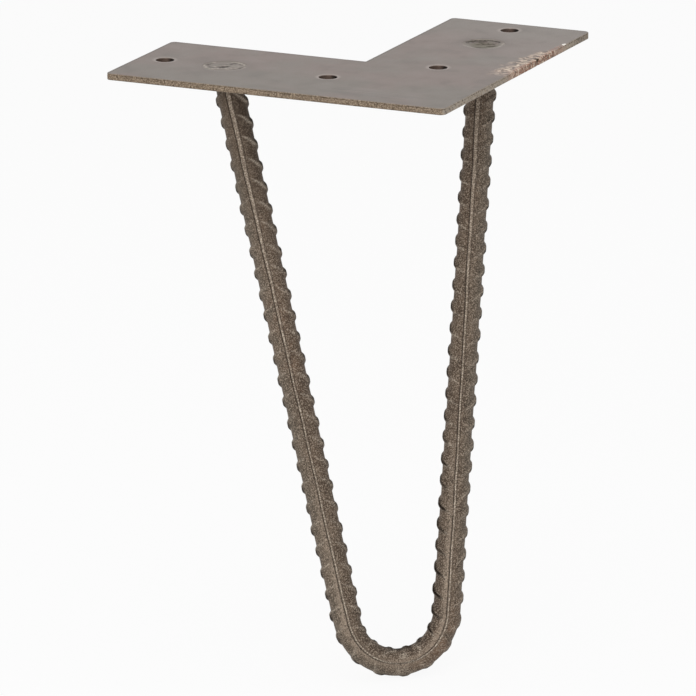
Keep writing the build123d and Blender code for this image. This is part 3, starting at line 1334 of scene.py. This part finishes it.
# Light strokes: pale lines on the bead, partly worn metal and partly painted highlight.
SWIRL_LIGHT = (
    Stroke(1.0, 0.55 * MM, ((-6.6, 1.8), (-6.3, -0.8), (-5.7, -2.3), (-4.4, -3.9), (-3.0, -3.6), (-1.6, -2.9),
                            (0.3, -2.6), (1.0, -4.2))),
    Stroke(0.7, 0.45 * MM, ((-3.4, -0.6), (-2.0, 0.3), (-0.6, 0.9), (0.9, 1.2))),
    Stroke(0.9, 0.5 * MM, ((2.4, 5.3), (4.4, 5.0), (5.6, 3.4), (6.5, 1.0))),
    Stroke(0.5, 0.4 * MM, ((1.2, -1.6), (2.4, -3.6), (3.8, -2.6), (4.6, -1.4))),
    Stroke(0.5, 0.45 * MM, ((4.1, -5.0), (5.7, -3.6), (6.5, -1.6))),
    Stroke(0.5, 0.4 * MM, ((-5.3, 4.0), (-4.3, 4.5), (-3.0, 5.6))),
    Stroke(0.35, 0.4 * MM, ((-1.8, 2.6), (-0.3, 3.0), (1.0, 3.9))),
    Stroke(0.3, 1.2 * MM, ((2.6, -0.4), (4.4, 0.0))))
# Dark strokes: painted shade along the inner edges of the swirl's ridges.
SWIRL_DARK = (
    Stroke(1.0, 0.75 * MM, ((-1.2, -1.2), (0.1, -0.8), (1.1, -0.3))),
    Stroke(0.35, 0.4 * MM, ((-2.6, -1.7), (-1.3, -1.3), (1.4, -0.2))),
    Stroke(0.55, 0.45 * MM, ((-4.0, 3.9), (-5.2, 3.0), (-5.6, 1.9))),
    Stroke(0.4, 0.45 * MM, ((-5.2, -0.1), (-4.6, -1.2), (-3.6, -1.5))),
    Stroke(0.3, 0.4 * MM, ((-1.8, 1.9), (-0.4, 2.3), (1.0, 3.0))),
    Stroke(0.6, 0.5 * MM, ((2.2, 3.0), (2.7, 3.7), (3.7, 3.8))),
    Stroke(0.35, 0.4 * MM, ((4.7, 2.9), (5.5, 1.5))),
    Stroke(0.5, 0.4 * MM, ((3.0, -4.5), (3.9, -4.0), (5.2, -2.9), (5.9, -1.2))))
# Light strokes of the dish: pale lines on its rim, partly worn metal and partly painted highlight.
DISH_LIGHT = (
    Stroke(0.7, 0.6 * MM, ((-6.5, -1.6), (-5.6, -3.8), (-4.2, -4.9))),
    Stroke(0.8, 0.55 * MM, ((1.6, -6.0), (3.6, -5.3), (5.3, -3.2), (6.5, 0.2))),
    Stroke(0.6, 0.4 * MM, ((-3.2, 6.0), (0.2, 6.5), (3.8, 5.6))),
    Stroke(0.4, 0.3 * MM, ((0.9, 2.9), (2.0, 2.6), (3.4, 1.6))))
# Dark strokes of the dish: painted shade, a broad crescent on its far wall and lines across its floor.
DISH_DARK = (
    Stroke(0.8, 0.5 * MM, ((-5.5, 2.9), (-3.5, 4.9), (0.0, 5.9), (2.7, 5.4), (5.2, 2.9))),
    Stroke(0.5, 0.7 * MM, ((-1.2, 4.7), (0.8, 4.9))),
    Stroke(0.65, 0.35 * MM, ((-2.1, 3.0), (0.5, 3.8), (3.6, 2.2))),
    Stroke(0.5, 0.45 * MM, ((1.3, 1.2), (2.4, 1.0), (3.5, 0.4))),
    Stroke(0.4, 0.5 * MM, ((-2.0, -0.6), (-0.6, -0.9), (1.0, -1.1))))


@dataclass
class PlugWeld:
    """Weld metal that fills one weld hole round the end of the bar."""

    name: str
    path: HairpinPath
    side: Side
    radius: float
    bowl_depth: float
    light: tuple[Stroke, ...]
    dark: tuple[Stroke, ...]
    thickness: float = PLATE_THICKNESS
    bar_radius: float = 4.6 * MM
    bar_level: float = -1.38 * MM
    rings: int = 56
    spokes: int = 144
    first_ring: float = 0.03
    view_turn: float = -20.5
    stroke_wobble: float = 0.22 * MM
    bead_height: float = 0.14 * MM
    ripple_height: float = 0.02 * MM
    sunk: float = 0.02 * MM
    bowl_fades: Span = (0.97, 0.3)
    deep_starts: Span = (0.3 * MM, 1.0 * MM)

    @property
    def centre(self) -> Pair:
        """Middle of the weld in the part's frame."""
        return self.side.value * self.path.top_half, self.path.top_half

    def dressed(self, share: np.ndarray, swing: np.ndarray) -> tuple[np.ndarray, dict[str, np.ndarray]]:
        """Top face of the weld, all of it at or below the plate's top face.

        Args:
            share: Distances from the middle as a column, in shares of the radius.
            swing: Angles round the middle as a row.

        Returns:
            Heights and marks over the grid of points.
        """
        plan = self.radius * share[..., np.newaxis] * np.stack([np.cos(swing), np.sin(swing)], axis=-1)
        wave = plan / MM
        turned = wave[..., ::-1]
        wobble = np.sin(1.9 * wave + 1.3 * turned) + 0.6 * np.sin(3.7 * turned - 2.3 * wave + 1.0)
        plan = plan + self.stroke_wobble * wobble
        # The dark strokes give painted shade, the light strokes pale bead lines that are partly painted
        # highlight.
        light, dark = (np.maximum.reduce([stroke.over(plan, self.view_turn) for stroke in strokes])
                       for strokes in (self.light, self.dark))
        ripple = (np.sin(9 * share - 2 * swing) + 0.6 * np.sin(17 * share + 3 * swing + 1.0)) / 1.6
        inside = smooth_step(share, 1.0, 0.85)
        uneven = 0.05 * np.sin(2 * swing + 0.6) + 0.025 * np.sin(3 * swing)
        bowl = smooth_step(share * (1 + uneven), *self.bowl_fades)
        hollow = self.bead_height * (0.6 * (1 - light) + 0.4 * dark) + self.ripple_height * (1 + ripple)
        height = -self.sunk - inside * hollow - self.bowl_depth * bowl
        deep = smooth_step(self.bowl_depth * bowl, *self.deep_starts)
        return height, {"light": light, "dark": dark, "deep": deep}

    def build(self, finish: bpy.types.Material) -> bpy.types.Object:
        """Build the weld: dressed top, wall, underside and the seat of the bar's end.

        Args:
            finish: Material of the weld.

        Returns:
            The weld.
        """
        swing, rim = spread_round(self.spokes)
        middle = np.array(self.centre)
        shares = np.linspace(self.first_ring, 1.0, self.rings)
        heights, marks = self.dressed(shares[:, np.newaxis], swing[np.newaxis, :])
        rows = [np.column_stack([middle + rim * self.radius * share, level])
                for share, level in zip(shares, heights)]
        lean = self.path.follow(np.array([0.0 if self.side is Side.LEFT else self.path.length]))[1][0]
        lean = lean / lean[2]
        wall = middle + rim * self.radius
        seat_rim = middle + rim * self.bar_radius
        for plan, level in ((wall, -self.thickness * 0.5), (wall, -self.thickness),
                            (seat_rim + lean[:2] * -self.thickness, -self.thickness),
                            (seat_rim + lean[:2] * self.bar_level, self.bar_level)):
            rows.append(np.column_stack([plan, np.full(self.spokes, level)]))
        grid = np.array(rows)
        count, columns = grid.shape[:2]
        hearts = np.array([[*middle, heights[0].mean()],
                           [*(middle + lean[:2] * self.bar_level), self.bar_level]])
        faces = [quad[::-1] for quad in band_faces(count, columns)]
        top, seat = count * columns, count * columns + 1
        last = (count - 1) * columns
        faces += [(top, i, (i + 1) % columns) for i in range(columns)]
        faces += [(seat, last + (i + 1) % columns, last + i) for i in range(columns)]
        below = np.zeros((count - len(shares)) * columns)
        marks = {name: np.concatenate([mark.ravel(), below, (mark[0].mean(), 0.0)])
                 for name, mark in marks.items()}
        return make_piece(self.name, np.concatenate([grid.reshape(-1, 3), hearts]), faces, marks, finish)


@dataclass(frozen=True)
class Softbox:
    """Square area light that faces the leg; its size is in metres and its power in watts."""

    name: str
    place: Place
    size: float
    power: float
    aim: Place = (0.0, 0.03, -0.08)

    def hang(self) -> None:
        """Add the light to the scene."""
        data = bpy.data.lights.new(self.name, "AREA")
        data.shape = "SQUARE"
        data.size = self.size
        data.energy = self.power
        light = add_object(self.name, data)
        light.location = self.place
        way = Vector(self.aim) - light.location
        light.rotation_euler = way.to_track_quat("-Z", "Y").to_euler()


@dataclass
class Studio:
    """Pale floor, soft lights and the camera."""

    floor_level: float
    camera_place: Place = (-877.36 * MM, -2297.10 * MM, 587.85 * MM)
    camera_azimuth: float = -20.481
    camera_elevation: float = 15.365
    camera_roll: float = 0.032
    lens: float = 405.97
    sensor_width: float = 36.0
    farthest_seen: float = 20.0
    sky_light: float = 0.5
    floor_tone: Colour = tone(236, 236, 236)
    floor_glow: float = 0.92
    floor_radius: float = 4.0
    floor_sides: int = 96
    softboxes: tuple[Softbox, ...] = (
        Softbox("top_softbox", (-0.15, -0.2, 1.25), 1.1, 5.0),
        Softbox("front_softbox", (-0.9, -1.3, 0.6), 1.0, 12.0))

    def set_camera(self) -> None:
        """Place the camera where the photograph was taken from."""
        data = bpy.data.cameras.new("camera")
        data.lens = self.lens
        data.sensor_width = self.sensor_width
        data.clip_end = self.farthest_seen
        camera = add_object("camera", data)
        turn = (Matrix.Rotation(radians(self.camera_azimuth), 4, "Z")
                @ Matrix.Rotation(radians(90 - self.camera_elevation), 4, "X")
                @ Matrix.Rotation(radians(-self.camera_roll), 4, "Z"))
        camera.matrix_world = Matrix.Translation(self.camera_place) @ turn
        bpy.context.scene.camera = camera

    @staticmethod
    def seen_directly(g: ShaderGraph) -> Wire:
        """Share of rays that show the white surroundings: from the camera, in gloss or through glass.

        Args:
            g: Graph of the floor or of the world.

        Returns:
            1 for such a ray and 0 for any other.
        """
        rays = g.node("ShaderNodeLightPath")
        direct = g.at_least(g.wire(rays, "Is Camera Ray"), g.wire(rays, "Is Glossy Ray"))
        return g.at_least(direct, g.wire(rays, "Is Transmission Ray"))

    def set_sky(self) -> None:
        """Even white light from all round, and a white background."""
        world = bpy.data.worlds.new("white_room")
        world.use_nodes = True
        g = ShaderGraph(world.node_tree)
        light, white = (g.node("ShaderNodeBackground", {}, {"Color": WHITE, "Strength": strength})
                        for strength in (self.sky_light, 1.0))
        g.finish(g.blend(self.seen_directly(g), light, white), "ShaderNodeOutputWorld")
        bpy.context.scene.world = world

    def lay_floor(self) -> None:
        """Wide floor under the foot that stays near white and keeps the leg's soft shadow."""
        material, g = new_graph("pale_floor")
        glow = g.node("ShaderNodeEmission", {}, {"Color": WHITE, "Strength": 1.0})
        g.finish(g.blend(self.seen_directly(g) * self.floor_glow, g.matt(self.floor_tone), glow))
        _, rim = spread_round(self.floor_sides)
        points = np.column_stack([self.floor_radius * rim, np.full(self.floor_sides, self.floor_level)])
        floor = make_piece("pale_floor", points, [tuple(range(self.floor_sides))], {}, material)

    def build(self) -> None:
        """Set up the whole studio."""
        bpy.context.scene.view_settings.view_transform = "Standard"
        self.set_camera()
        self.set_sky()
        self.lay_floor()
        for softbox in self.softboxes:
            softbox.hang()


def mount(piece: bpy.types.Object, node: str) -> None:
    """Fix a piece to the part in place of a CAD node.

    Args:
        piece: Piece to fix.
        node: Node that it stands for.
    """
    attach(piece, "root")
    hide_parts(node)
    LOG.info("%s stands for %s, %d faces", piece.name, node, len(piece.data.polygons))


def main() -> None:
    """Build the leg's pieces and the studio, with the floor at the bottom of the CAD model's box."""
    logging.basicConfig(level=logging.INFO, format="%(name)s: %(message)s")
    path = HairpinPath()
    plate = ScrewPlate()
    mount(plate.build(SheetSteel().material()), "mounting_plate")
    mount(RibbedBar(path).build(RolledBarSteel().material()), "hairpin_bar")
    left = PlugWeld("left_weld", path, Side.LEFT, plate.left_weld_radius, 0.0, SWIRL_LIGHT, SWIRL_DARK)
    right = PlugWeld("right_weld", path, Side.RIGHT, plate.right_weld_radius, 1.1 * MM, DISH_LIGHT, DISH_DARK)
    weld_steel = PlugWeldSteel().material()
    for weld, node in ((left, "left_plug_weld"), (right, "right_plug_weld")):
        mount(weld.build(weld_steel), node)
    Studio(floor_level=cad_box[0][2]).build()
    LOG.info("studio is set")


if __name__ == "__main__":
    main()
